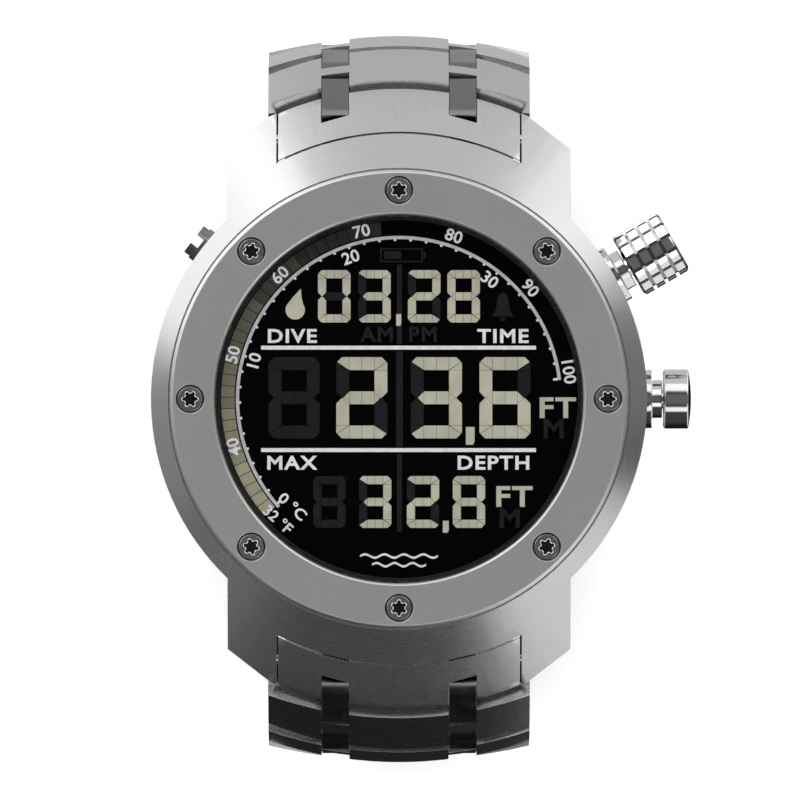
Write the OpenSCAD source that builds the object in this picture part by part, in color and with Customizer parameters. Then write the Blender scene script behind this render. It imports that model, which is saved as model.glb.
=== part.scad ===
// Steel dive computer on a steel link bracelet.
// Frame: +Z out of the display, +Y towards 12 o'clock, +X towards 3 o'clock.
// The origin is the middle of the case back's outer face. Units are millimetres.

/* [Case] */
// Diameter of the round case
case_d = 46; // [45.8:0.1:46.2]
// Thickness from the case back's outer face to the bezel's top
case_h = 14; // [13.8:0.1:14.4]
// Width across the lug block
lug_block_w = 31.8; // [31.4:0.1:32.2]
// Radius at which the lug tips end
lug_tip_r = 28.85; // [28.8:0.05:29]
// Half length of the straight flanks of the lug block
lug_flank_y = 23.2; // [22.9:0.1:23.4]
// Height of the lug tips, where the sloping top that starts at the bezel ends
lug_tip_z = 7; // [6.9:0.05:7.1]

/* [Bezel and crystal] */
// Outer diameter of the bezel ring
bezel_d = 42.5; // [42.3:0.1:42.6]
// Opening of the bezel ring
bezel_bore = 34.1; // [34:0.1:34.3]
// Number of bezel screws
bezel_screw_count = 8; // [4:1:8]
// Diameter of the circle that the bezel screws stand on
bezel_screw_circle = 38.7; // [38.5:0.1:38.9]
// Diameter of a bezel screw's head
bezel_screw_head = 2.46; // [2.3:0.02:2.5]
// Diameter of the display panel
display_d = 33.1; // [32.6:0.1:33.1]

/* [Crown and push-button] */
// Height of the crown, push-button and sensor port axes
control_z = 6.5; // [6.3:0.1:6.7]
// Direction of the crown, from 3 o'clock towards 12 o'clock
crown_angle = 30; // [25:1:35]
// Outer diameter of the crown
crown_d = 6.2; // [6:0.1:6.4]
// Length of the crown along its axis
crown_len = 4.8; // [4.4:0.1:5]
// Number of block columns around the crown
crown_columns = 14; // [12:1:16]
// Number of block rows along the crown
crown_rows = 4; // [3:1:4]
// Outer diameter of the push-button's cap
button_d = 5.5; // [5.3:0.1:5.6]
// Length of the push-button's cap
button_len = 2.6; // [2.4:0.1:2.8]
// Direction of the sensor port, from 3 o'clock towards 12 o'clock
port_angle = 142; // [138:1:146]

/* [Bracelet] */
// Width of the bracelet at the case
bracelet_w = 24.3; // [24:0.1:24.3]
// Width of the bracelet at the clasp
clasp_w = 20; // [19.8:0.1:20.4]
// Thickness of a link at its middle
link_t = 4; // [3.9:0.05:4.1]
// Radius of a link's crowned outer face
link_crown_r = 43; // [42:1:50]
// Distance between the two pins of one link
link_len = 4.6; // [4.5:0.1:4.7]
// Distance between the two pins of one connector
connector_len = 3.4; // [3.3:0.1:3.5]
// Slope of the first connector below the horizontal
first_slope = 58; // [57:0.5:59]
// Bend at every pin after the first one
pin_bend = 8; // [7.8:0.1:8.1]
// Distance of the two connector blocks from the middle plane
connector_x = 5.92; // [5.8:0.02:6]
// Width of one connector block
connector_w = 2.5; // [2.4:0.05:2.5]

/* [Clasp] */
// Radius of the arc that the clasp follows at the height of the pins
clasp_r = 48; // [47.8:0.1:48.4]
// Angle of the hinge between the cover and the upper blade
hinge_one_phi = -16; // [-16:0.1:-15.8]
// Angle of the hinge between the two blades
hinge_two_phi = 13; // [12.6:0.1:13.2]
// Half width of the folding blades
blade_half_w = 7.6; // [7.5:0.05:7.6]

/* [Hidden] */
$fn = 96;
CHAIN = [1, 2, 3, 4, 5, 6];

case_r = case_d / 2;
bottom_z = 0.8;
seat_z = case_h - 2.1;
shoulder_z = case_h - 1.6;
groove_r = bezel_d / 2 + 0.15;
end_link_w = 22.44;
pocket_w = 22.74;
pocket_r = 24.62;
end_link_r = 24.78;
end_link_tip = lug_tip_r - 0.05;

cavity_r = 17;
ledge_z = case_h - 3.6;
ledge_bore = 16.9;
crystal_seat_z = case_h - 2.8;
crystal_seat_r = 17.95;
crystal_z = case_h - 2.4;
crystal_step_z = case_h - 1;
bezel_r = bezel_d / 2;
bezel_bore_r = bezel_bore / 2;
bezel_head_z = case_h - 0.75;
display_z = case_h - 2.75;
back_recess_r = 19;
back_seat_z = 1.4;
back_screw_circle = 18;
back_screw_count = 6;

collar_r = 2.7;
collar_start = case_r - 1.1;
collar_end = case_r + 0.45;
tube_r = 1.5;
tube_bore = 0.95;
stem_r = 0.9;
stem_start = 17.55;
neck_end = case_r + 1.4;
knob_start = case_r + 1.6;
crown_neck_r = 1.85;
button_neck_r = 1.76;
knob_bore_depth = 1.3;
o_ring_at = 20.6;

chain_start = [25.73, 6.45];
pin_r = 0.4;
pin_hole_r = 0.45;
pin_half = 8.6;
pin_z = 1.3;
link_start = 0.9;
link_end = 1.7;
end_arc_r = 38;
first_arc_r = 56;
notch_w = connector_w + 0.1;
notch_wall = 1.5;
block_end = 1.35;
block_top = 2.05;
block_low = 1;
block_far = [[0.85, block_top], [1.2, 1.9], [block_end, 1.55]];

// Height of the case's sloping top at a radius.
function slope_z(r) =
    shoulder_z - (r - groove_r) * (shoulder_z - lug_tip_z) / (lug_tip_r - groove_r);
function along(slope, len) = [len * cos(slope), -len * sin(slope)];
function connector_slope(k) = first_slope + 2 * (k - 1) * pin_bend;
function link_slope(k) = connector_slope(k) + pin_bend;
function pin_a(k) = k == 0 ? chain_start : pin_b(k) + along(link_slope(k), link_len);
function pin_b(k) = pin_a(k - 1) + along(connector_slope(k), connector_len);
function chain_w(k) = k < 3 ? bracelet_w : bracelet_w - (bracelet_w - clasp_w) * (k - 2) / 4;

clasp_phi = asin(pin_a(6)[0] / clasp_r);
clasp_cz = pin_a(6)[1] + clasp_r * cos(clasp_phi);
cover_half_w = clasp_w / 2 - 0.1;
cover_in = 1.1;
cover_out = 2.5;
cover_crown_r = 70;
cover_wall = 1;
cover_first = hinge_one_phi + 1.4;
cover_last = clasp_phi - 3;
hinge_r = 0.85;
hinge_one_r = 0.65;
hinge_two_r = -0.45;
hinge_two_barrel = 0.8;
upper_in = -0.15;
upper_out = 0.85;
lower_in = -1.3;
lower_out = -0.35;
tab_half = 3.9;
clasp_button_phi = 4;
clasp_button_r = 0.8;
finger_r = 1.15;

steel = "#b9bbbe";
dark_steel = "#6f7276";
polished = "#d8dadd";
rubber = "#2b2b2d";
glass = "#101214";

// ---------- helpers ----------

// Turns a shape drawn with its axis along Z so that it points radially outwards.
module radial(angle) {
    rotate([0, 0, angle])
        translate([0, 0, control_z])
            rotate([0, 90, 0])
                children();
}

// A rod along the radial axis, from one radius to another.
module rod(r, from, to) {
    translate([0, 0, from])
        cylinder(r = r, h = to - from);
}

// A ring with a rectangular section.
module ring(r_in, r_out, z_low, z_high) {
    rotate_extrude()
        translate([r_in, z_low])
            square([r_out - r_in, z_high - z_low]);
}

// A solid disc between two heights.
module disc(r, z_low, z_high) {
    translate([0, 0, z_low])
        cylinder(r = r, h = z_high - z_low);
}

// Places a shape at a chain pin: local Y runs along the chain, local Z points outwards.
module at_slope(pin, slope) {
    translate([0, pin[0], pin[1]])
        rotate([-slope, 0, 0])
            children();
}

// Extrudes a side outline, drawn along the chain and outwards, between two X values.
module side_slab(x_low, x_high) {
    translate([x_low, 0, 0])
        rotate([90, 0, 90])
            linear_extrude(height = x_high - x_low)
                children();
}

// A rod along X, centred on the middle plane.
module cross_rod(r, half) {
    rotate([0, 90, 0])
        cylinder(r = r, h = 2 * half, center = true);
}

// Draws a shape on the right and its copy on the left.
module both_sides() {
    children();
    mirror([1, 0, 0])
        children();
}

// Turns a shape into the clasp's frame: local Y is along X of the part, local X is outwards.
module clasp_sector(phi_low, phi_high) {
    translate([0, 0, clasp_cz])
        rotate([0, 90, 0])
            rotate([0, 0, phi_low])
                rotate_extrude(angle = phi_high - phi_low, $fn = 360)
                    children();
}

// A strip of the clasp: radii are given from the pins' arc, outwards.
module clasp_strip(in, out, x_low, x_high, phi_low, phi_high) {
    clasp_sector(phi_low, phi_high)
        translate([clasp_r + in, x_low])
            square([out - in, x_high - x_low]);
}

// Places a shape, drawn around the X axis, at an angle and a radius of the clasp's arc.
module on_clasp(phi, out) {
    translate([0, 0, clasp_cz])
        rotate([phi, 0, 0])
            translate([0, 0, -clasp_r - out])
                children();
}

// A wire coil along Z, swept as rings of a six-sided section.
module coil(major, wire, length, turns) {
    steps = 16;
    sides = 6;
    count = steps * turns;
    rise = (length - 2 * wire) / count;
    points = [
        for (i = [0 : count], j = [0 : sides - 1])
            let (a = 360 * i / steps, b = 360 * j / sides, r = major + wire * cos(b))
                [r * cos(a), r * sin(a), wire + rise * i + wire * sin(b)]
    ];
    skin = [
        for (i = [0 : count - 1], j = [0 : sides - 1])
            let (n = (j + 1) % sides)
                [i * sides + j, (i + 1) * sides + j, (i + 1) * sides + n, i * sides + n]
    ];
    first_cap = [[for (j = [0 : sides - 1]) j]];
    last_cap = [[for (j = [sides - 1 : -1 : 0]) count * sides + j]];
    polyhedron(points = points, faces = concat(first_cap, skin, last_cap));
}

// ---------- case ----------

// Half section of the case: flat under the bezel, with one even slope outside it.
module case_section() {
    polygon([
        [0, bottom_z], [19.5, bottom_z], [case_r, 2.6], [lug_tip_r, 4.8],
        [lug_tip_r, lug_tip_z], [groove_r, shoulder_z], [groove_r, seat_z], [0, seat_z]
    ]);
}

// Plan of the case: the round drum and the lug block with its slanted corners.
module case_plan() {
    half = lug_block_w / 2;
    tip = bracelet_w / 2;
    corner_y = 26.1;
    circle(r = case_r, $fn = 240);
    polygon([
        [half, -lug_flank_y], [half, lug_flank_y], [tip, corner_y], [tip, 30],
        [-tip, 30], [-tip, corner_y], [-half, lug_flank_y], [-half, -lug_flank_y],
        [-tip, -corner_y], [-tip, -30], [tip, -30], [tip, -corner_y]
    ]);
}

module bezel_screw_places() {
    for (i = [0 : bezel_screw_count - 1])
        rotate([0, 0, i * 360 / bezel_screw_count])
            translate([bezel_screw_circle / 2, 0, 0])
                children();
}

module back_screw_places() {
    for (i = [0 : back_screw_count - 1])
        rotate([0, 0, 15 + i * 360 / back_screw_count])
            translate([back_screw_circle, 0, 0])
                children();
}

// The four short pins that hold the end links between the lugs.
module lug_pin_places() {
    for (side = [0, 1], x = [0, 1])
        mirror([0, side, 0])
            mirror([x, 0, 0])
                translate([8.6, 24, 7])
                    rotate([0, 90, 0])
                        children();
}

module case_body() {
    color(steel)
        difference() {
            intersection() {
                rotate_extrude($fn = 240)
                    case_section();
                linear_extrude(height = case_h)
                    case_plan();
            }
            linear_extrude(height = case_h)
                difference() {
                    square([pocket_w, 80], center = true);
                    circle(r = pocket_r, $fn = 240);
                }
            disc(cavity_r, back_seat_z - 0.01, ledge_z);
            disc(back_recess_r, 0, back_seat_z);
            disc(ledge_bore, ledge_z - 0.01, case_h);
            disc(crystal_seat_r, crystal_seat_z, case_h);
            bezel_screw_places()
                disc(0.62, seat_z - 2.6, case_h);
            back_screw_places()
                disc(0.42, 0, 3.5);
            for (angle = [crown_angle, 0])
                radial(angle) {
                    rod(tube_r + 0.02, 16, case_r + 2);
                    rod(collar_r + 0.03, collar_start - 0.02, case_r + 2);
                }
            radial(port_angle) {
                rod(1.22, 16, 21);
                rod(1.7, 20.9, case_r + 2);
            }
            lug_pin_places()
                rod(0.62, 0, 4.75);
        }
}

module bezel() {
    color(steel)
        difference() {
            rotate_extrude($fn = 240)
                polygon([
                    [crystal_seat_r + 0.02, seat_z], [bezel_r, seat_z], [bezel_r, case_h - 0.3],
                    [bezel_r - 0.25, case_h], [bezel_bore_r + 0.2, case_h],
                    [bezel_bore_r, case_h - 0.2], [bezel_bore_r, crystal_step_z + 0.05],
                    [crystal_seat_r + 0.02, crystal_step_z + 0.05]
                ]);
            bezel_screw_places() {
                disc(bezel_screw_head / 2 + 0.07, bezel_head_z, case_h + 1);
                disc(0.7, seat_z - 1, case_h);
            }
        }
}

// The six-lobe socket of a bezel screw.
module lobed_socket(depth) {
    disc(0.58, case_h - depth, case_h + 1);
    for (i = [0 : 5])
        rotate([0, 0, i * 60])
            translate([0.6, 0, 0])
                disc(0.2, case_h - depth, case_h + 1);
}

module bezel_screws() {
    color(polished)
        bezel_screw_places()
            difference() {
                union() {
                    rotate_extrude()
                        polygon([
                            [0, bezel_head_z + 0.02], [bezel_screw_head / 2, bezel_head_z + 0.02],
                            [bezel_screw_head / 2, case_h - 0.12],
                            [bezel_screw_head / 2 - 0.12, case_h], [0, case_h]
                        ]);
                    disc(0.6, seat_z - 2.5, bezel_head_z + 0.1);
                }
                lobed_socket(0.3);
            }
}

module crystal() {
    color(glass)
        rotate_extrude($fn = 240)
            polygon([
                [0, crystal_z], [crystal_seat_r - 0.1, crystal_z],
                [crystal_seat_r - 0.1, crystal_step_z], [bezel_bore_r - 0.08, crystal_step_z],
                [bezel_bore_r - 0.08, case_h - 0.45], [bezel_bore_r - 0.33, case_h - 0.2],
                [0, case_h - 0.2]
            ]);
}

module crystal_gasket() {
    color(rubber)
        ring(ledge_bore + 0.05, crystal_seat_r - 0.1, crystal_seat_z + 0.01, crystal_z - 0.01);
}

module dial_ring() {
    color(rubber)
        ring(display_d / 2 + 0.05, ledge_bore - 0.05, ledge_z + 0.1, crystal_z - 0.1);
}

module display_panel() {
    color(glass)
        disc(display_d / 2, display_z - 1.75, display_z);
}

module backlight() {
    color("#dfe6e2")
        disc(16.2, display_z - 2.35, display_z - 1.85);
}

module circuit_board() {
    color("#1f5a3a")
        disc(16.2, 7.7, display_z - 2.45);
}

module buzzer_place() {
    rotate([0, 0, 225])
        translate([14.5, 0, 0])
            children();
}

module module_frame() {
    color("#3a3b3d")
        difference() {
            disc(16.6, 2.3, 7.6);
            disc(12.4, 2, 7.3);
            buzzer_place()
                disc(1.9, 2, 6.4);
        }
}

module battery() {
    color(polished)
        rotate_extrude()
            polygon([[0, 2.2], [11.4, 2.2], [11.4, 2.6], [12.25, 2.6], [12.25, 7.2], [0, 7.2]]);
}

module buzzer() {
    color("#c9a24a")
        buzzer_place() {
            disc(1.8, 2.4, 6.2);
        }
}

module case_back() {
    color(steel)
        difference() {
            rotate_extrude($fn = 240)
                polygon([
                    [0, 0], [18.6, 0], [back_recess_r - 0.1, 0.3], [back_recess_r - 0.1, 1.35],
                    [16.4, 1.35], [16.4, 2], [0, 2]
                ]);
            back_screw_places() {
                disc(0.75, -1, 0.55);
                disc(0.45, -1, 3);
            }
            rotate_extrude($fn = 240)
                translate([14.6, -0.15])
                    square([0.35, 0.3]);
        }
}

module case_back_gasket() {
    color(rubber)
        translate([0, 0, 1.68])
            rotate_extrude($fn = 240)
                translate([16.7, 0])
                    circle(r = 0.24, $fn = 32);
}

module case_back_screws() {
    color(polished)
        back_screw_places()
            difference() {
                union() {
                    disc(0.7, 0.06, 0.53);
                    disc(0.4, 0.4, 3.4);
                }
                translate([-0.8, -0.1, 0])
                    cube([1.6, 0.2, 0.28]);
            }
}

module sensor_port_cap() {
    color(dark_steel)
        radial(port_angle)
            difference() {
                union() {
                    rod(1.67, 21.05, case_r + 0.5);
                    rod(1.5, case_r + 0.3, case_r + 1.15);
                }
                translate([-2, -0.47, case_r + 0.35])
                    cube([4, 0.94, 2]);
                rod(0.5, 20, case_r + 2);
            }
}

module pressure_sensor() {
    color(polished)
        radial(port_angle)
            rod(1.2, 17.2, 20.95);
}

// A tube pressed into the case wall, with a collar in a counterbore and a neck outside.
module control_tube(neck_r) {
    difference() {
        union() {
            rod(tube_r, 18.2, collar_start + 0.2);
            rod(collar_r, collar_start, collar_end);
            rod(neck_r, collar_end - 0.2, neck_end);
        }
        rod(tube_bore, 18, neck_end + 1);
    }
}

module crown_tube() {
    color(polished)
        radial(crown_angle)
            control_tube(crown_neck_r);
}

module button_tube() {
    color(polished)
        radial(0)
            control_tube(button_neck_r);
}

// The end link: it carries on the sloping top of the case, cut to the pocket between the lugs.
module end_link() {
    pin_y = chain_start[0];
    pin_height = chain_start[1];
    color(steel)
        difference() {
            intersection() {
                rotate_extrude($fn = 240)
                    polygon([
                        [end_link_r, 3.6], [26.2, 3.6], [end_link_tip, 6.05], [end_link_tip, 6.6],
                        [end_link_tip - 0.45, slope_z(end_link_tip - 0.45)],
                        [end_link_r, slope_z(end_link_r)]
                    ]);
                translate([-end_link_w / 2, 15, 0])
                    cube([end_link_w, 20, case_h]);
            }
            both_sides()
                translate([connector_x - notch_w / 2, 0, 0]) {
                    intersection() {
                        translate([notch_w / 2, pin_y, pin_height])
                            cross_rod(block_top + 0.1, notch_w / 2);
                        translate([-1, pin_y - 0.98, 0])
                            cube([notch_w + 2, 10, 20]);
                    }
                    translate([0, pin_y + 0.67, 0])
                        cube([notch_w, 10, 20]);
                    translate([0, pin_y - 0.5, 0])
                        cube([notch_w, 10, 5.6]);
                }
            translate([0, pin_y, pin_height])
                cross_rod(pin_hole_r, pin_half + 0.1);
            lug_pin_places()
                rod(0.62, -0.1, 4);
        }
}

module end_link_12() {
    end_link();
}

module end_link_6() {
    mirror([0, 1, 0])
        end_link();
}

module lug_pins() {
    color(polished)
        lug_pin_places()
            rod(0.6, 0, 4.7);
}

// ---------- crown and push-button ----------

// A stem that runs in its tube, with a groove for the seal.
module stem(end) {
    difference() {
        rod(stem_r, stem_start, end);
        difference() {
            rod(2, o_ring_at - 0.2, o_ring_at + 0.2);
            rod(0.65, o_ring_at - 1, o_ring_at + 1);
        }
    }
}

module o_ring() {
    translate([0, 0, o_ring_at])
        rotate_extrude()
            translate([0.8, 0])
                circle(r = 0.14, $fn = 32);
}

module crown_stem() {
    color(polished)
        radial(crown_angle) {
            stem(knob_start + knob_bore_depth - 0.02);
            rod(0.6, knob_start + knob_bore_depth - 0.1, knob_start + crown_len - 1);
        }
}

module crown_o_ring() {
    color(rubber)
        radial(crown_angle)
            o_ring();
}

module crown_spring() {
    color(polished)
        radial(crown_angle)
            translate([0, 0, neck_end + 0.02])
                coil(1.4, 0.14, 1.44, 2);
}

module crown_knob() {
    row = crown_len / crown_rows;
    groove = 0.34;
    depth = 0.37;
    r = crown_d / 2;
    color(polished)
        radial(crown_angle)
            translate([0, 0, knob_start])
                difference() {
                    rotate_extrude()
                        polygon([
                            [0, 0], [r - 0.3, 0], [r, 0.2], [r, crown_len - 0.25],
                            [r - 0.3, crown_len], [0, crown_len]
                        ]);
                    for (i = [1 : crown_rows - 1])
                        ring(r - depth, r + 1, i * row - groove / 2, i * row + groove / 2);
                    for (i = [0 : crown_columns - 1])
                        rotate([0, 0, (i + 0.5) * 360 / crown_columns])
                            translate([r - depth, -groove / 2, -1])
                                cube([2, groove, crown_len + 2]);
                    rod(crown_neck_r + 0.1, -1, knob_bore_depth);
                    rod(0.62, 0, crown_len - 0.9);
                }
}

module button_plunger() {
    r = button_d / 2;
    cap_end = knob_start - 0.1 + button_len;
    dome = 14;
    color(polished)
        radial(0)
            union() {
                stem(knob_start + knob_bore_depth);
                difference() {
                    intersection() {
                        rotate_extrude()
                            polygon([
                                [0, knob_start - 0.1], [r - 0.2, knob_start - 0.1],
                                [r, knob_start + 0.1], [r, cap_end - 0.35],
                                [r - 0.3, cap_end], [0, cap_end]
                            ]);
                        translate([0, 0, cap_end - dome])
                            sphere(r = dome, $fn = 240);
                    }
                    rod(button_neck_r + 0.1, knob_start - 1, knob_start + knob_bore_depth - 0.1);
                }
            }
}

module button_o_ring() {
    color(rubber)
        radial(0)
            o_ring();
}

module button_spring() {
    color(polished)
        radial(0)
            translate([0, 0, neck_end + 0.02])
                coil(1.35, 0.14, 1.34, 2);
}

// ---------- bracelet ----------

// One link, drawn from its first pin. Local Y is along the chain, local Z is outwards.
module link_plate(w_first, w_last, start_r = end_arc_r) {
    top = link_t - pin_z;
    last = link_len + link_end;
    difference() {
        intersection() {
            translate([-15, -6, -pin_z])
                cube([30, 20, link_t]);
            translate([0, -6, top - link_crown_r])
                rotate([-90, 0, 0])
                    cylinder(r = link_crown_r, h = 20, $fn = 360);
            translate([0, 0, -5])
                linear_extrude(height = 12)
                    intersection() {
                        difference() {
                            polygon([
                                [-w_first / 2, -link_start - 2.2], [w_first / 2, -link_start - 2.2],
                                [w_last / 2, last], [-w_last / 2, last]
                            ]);
                            translate([0, -link_start - start_r])
                                circle(r = start_r, $fn = 360);
                        }
                        translate([0, last - end_arc_r])
                            circle(r = end_arc_r, $fn = 360);
                    }
        }
        both_sides()
            translate([connector_x - notch_w / 2, 0, -5]) {
                translate([0, notch_wall - 10, 0])
                    cube([notch_w, 10, 12]);
                translate([0, link_len - notch_wall, 0])
                    cube([notch_w, 10, 12]);
            }
        cross_rod(pin_hole_r, pin_half + 0.1);
        translate([0, link_len, 0])
            cross_rod(pin_hole_r, pin_half + 0.1);
    }
}

// The rounded upper corner of a connector, as points about its pin.
function corner(from, to) = [
    for (i = [0 : 4])
        let (a = from + (to - from) * i / 4)
            [block_top * cos(a), block_top * sin(a)]
];

// Side outline of a block between two pins, round at its first end to turn in a pocket.
module block_outline(len, far = corner(90, acos(block_end / block_top))) {
    first = corner(180 - acos(block_end / block_top), 90);
    last = [for (p = far) [p[0] + len, p[1]]];
    polygon(concat(
        [[0, -block_low], [-block_end, 0.45]], first, last,
        [[len + block_end, 0.45], [len, -block_low]]
    ));
}

// Two blocks and the two pins that join a pair of links.
module connector() {
    color(dark_steel)
        both_sides()
            difference() {
                side_slab(connector_x - connector_w / 2, connector_x + connector_w / 2)
                    block_outline(connector_len, block_far);
                for (y = [0, connector_len])
                    translate([connector_x, y, 0])
                        cross_rod(pin_r + 0.02, connector_w);
            }
    color(polished)
        for (y = [0, connector_len])
            translate([0, y, 0])
                cross_rod(pin_r, pin_half);
}

// The first link has its back corner cut away, where it rolls under the end link.
module first_link() {
    difference() {
        link_plate(bracelet_w, bracelet_w, first_arc_r);
        side_slab(-13, 13)
            polygon([[-4, -0.15], [-2.3, -0.15], [-0.9, 0.05], [-0.42, -1.31], [-0.42, -2], [-4, -2]]);
    }
}

module link(k) {
    color(steel)
        at_slope(pin_b(k), link_slope(k))
            if (k == 1)
                first_link();
            else
                link_plate(chain_w(k - 1), chain_w(k));
}

module chain_connector(k) {
    at_slope(pin_a(k - 1), connector_slope(k))
        connector();
}

// ---------- clasp ----------

module clasp_cover() {
    color(steel)
        difference() {
            union() {
                clasp_sector(cover_first, cover_last)
                    intersection() {
                        translate([clasp_r + cover_in, -cover_half_w])
                            square([cover_out, 2 * cover_half_w]);
                        translate([clasp_r + cover_out - cover_crown_r, 0])
                            circle(r = cover_crown_r, $fn = 360);
                    }
                both_sides() {
                    clasp_strip(
                        -0.9, cover_in + 0.1, cover_half_w - cover_wall, cover_half_w,
                        cover_first, cover_last - 1.5
                    );
                    clasp_strip(
                        hinge_one_r - 0.55, hinge_one_r + 0.65, blade_half_w + 0.2,
                        cover_half_w - 0.05, hinge_one_phi, cover_first + 1
                    );
                    translate([(blade_half_w + 0.15 + cover_half_w) / 2, 0, 0])
                        on_clasp(hinge_one_phi, hinge_one_r)
                            cross_rod(hinge_r, (cover_half_w - blade_half_w - 0.15) / 2);
                    at_slope(pin_a(6), 180 - clasp_phi)
                        side_slab(connector_x - connector_w / 2, connector_x + connector_w / 2)
                            block_outline(2.6);
                }
            }
            at_slope(pin_a(6), 0)
                cross_rod(pin_r + 0.02, pin_half + 0.1);
            on_clasp(hinge_one_phi, hinge_one_r)
                cross_rod(pin_r + 0.02, 20);
            on_clasp(clasp_button_phi, 0.15)
                cross_rod(clasp_button_r + 0.05, 20);
        }
}

// The pin of the last link and the pin of the cover's hinge.
module cover_pins() {
    color(polished) {
        at_slope(pin_a(6), 0)
            cross_rod(pin_r, pin_half);
        on_clasp(hinge_one_phi, hinge_one_r)
            cross_rod(pin_r, cover_half_w - 0.1);
    }
}

module blade_upper() {
    color(polished)
        difference() {
            union() {
                clasp_strip(
                    upper_in, upper_out, -blade_half_w, blade_half_w,
                    hinge_one_phi + 0.3, hinge_two_phi - 1.4
                );
                clasp_strip(
                    upper_in - 0.1, upper_out - 0.3, -tab_half, tab_half,
                    hinge_two_phi - 2, hinge_two_phi
                );
                on_clasp(hinge_one_phi, hinge_one_r)
                    cross_rod(hinge_r, blade_half_w);
                on_clasp(hinge_two_phi, hinge_two_r)
                    cross_rod(hinge_two_barrel, tab_half);
            }
            on_clasp(hinge_one_phi, hinge_one_r)
                cross_rod(pin_hole_r, blade_half_w + 1);
            on_clasp(hinge_two_phi, hinge_two_r)
                cross_rod(pin_hole_r, blade_half_w + 1);
        }
}

// Side outline of a curved strip of the clasp, drawn in the part's own Y and Z.
module clasp_side(in, out, phi_low, phi_high) {
    far = 2 * clasp_r;
    translate([0, clasp_cz])
        intersection() {
            difference() {
                circle(r = clasp_r + out, $fn = 720);
                circle(r = clasp_r + in, $fn = 720);
            }
            polygon([
                [0, 0], [far * sin(phi_low), -far * cos(phi_low)],
                [far * sin(phi_high), -far * cos(phi_high)]
            ]);
        }
}

// Side outline of a round hinge eye or its bore.
module clasp_eye(r, phi, out) {
    translate([(clasp_r + out) * sin(phi), clasp_cz - (clasp_r + out) * cos(phi)])
        circle(r = r);
}

module lower_plate_side() {
    clasp_side(lower_in, lower_out, hinge_one_phi + 0.6, hinge_two_phi - 1.3);
}

module lower_ear_side() {
    difference() {
        union() {
            clasp_side(lower_in, lower_out, hinge_one_phi + 0.6, hinge_two_phi);
            clasp_eye(hinge_two_barrel, hinge_two_phi, hinge_two_r);
        }
        clasp_eye(pin_r + 0.02, hinge_two_phi, hinge_two_r);
    }
}

module lower_finger_side() {
    difference() {
        union() {
            lower_ear_side();
            clasp_side(lower_in + 0.3, lower_out + 0.1, -clasp_phi, hinge_one_phi + 1.2);
            clasp_eye(finger_r, -clasp_phi, 0);
        }
        clasp_eye(pin_r + 0.02, -clasp_phi, 0);
    }
}

module blade_lower() {
    ear = tab_half + 0.15;
    finger_low = connector_x - connector_w / 2;
    finger_high = connector_x + connector_w / 2;
    color(polished)
        union() {
            side_slab(-ear, ear)
                lower_plate_side();
            both_sides() {
                side_slab(ear, finger_low)
                    lower_ear_side();
                side_slab(finger_low, finger_high)
                    lower_finger_side();
                side_slab(finger_high, blade_half_w)
                    lower_ear_side();
            }
        }
}

// The pin between the blades and the two short spring-bar ends in the lower blade's fingers.
module blade_pins() {
    color(polished) {
        on_clasp(hinge_two_phi, hinge_two_r)
            cross_rod(pin_r, blade_half_w - 0.1);
        both_sides()
            translate([connector_x, 0, 0])
                on_clasp(-clasp_phi, 0)
                    cross_rod(pin_r, connector_w / 2);
    }
}

module clasp_button_right() {
    color(polished)
        on_clasp(clasp_button_phi, 0.15)
            rotate([0, 90, 0]) {
                rod(clasp_button_r, cover_half_w - 1.3, cover_half_w + 0.9);
                rod(clasp_button_r + 0.1, cover_half_w - 1.55, cover_half_w - 1.1);
            }
}

module clasp_button_left() {
    mirror([1, 0, 0])
        clasp_button_right();
}

// ---------- nodes ----------

case_body();
bezel();
bezel_screws();
crystal();
crystal_gasket();
dial_ring();
display_panel();
backlight();
module_frame();
circuit_board();
battery();
buzzer();
case_back();
case_back_gasket();
case_back_screws();
sensor_port_cap();
pressure_sensor();
crown_tube();
button_tube();
end_link_12();
end_link_6();
lug_pins();
crown_stem();
crown_o_ring();
crown_spring();
crown_knob();
button_plunger();
button_o_ring();
button_spring();
for (k = CHAIN) {
    chain_connector(k);
    link(k);
    mirror([0, 1, 0]) chain_connector(k);
    mirror([0, 1, 0]) link(k);
}
clasp_cover();
cover_pins();
blade_upper();
blade_lower();
blade_pins();
clasp_button_left();
clasp_button_right();
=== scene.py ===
"""Looks of a steel wrist dive computer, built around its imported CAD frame.

Lengths on the object are written in millimetres and turned into metres with MM.
"""
import math

import bmesh
import bpy
from mathutils import Matrix, Vector


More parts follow.
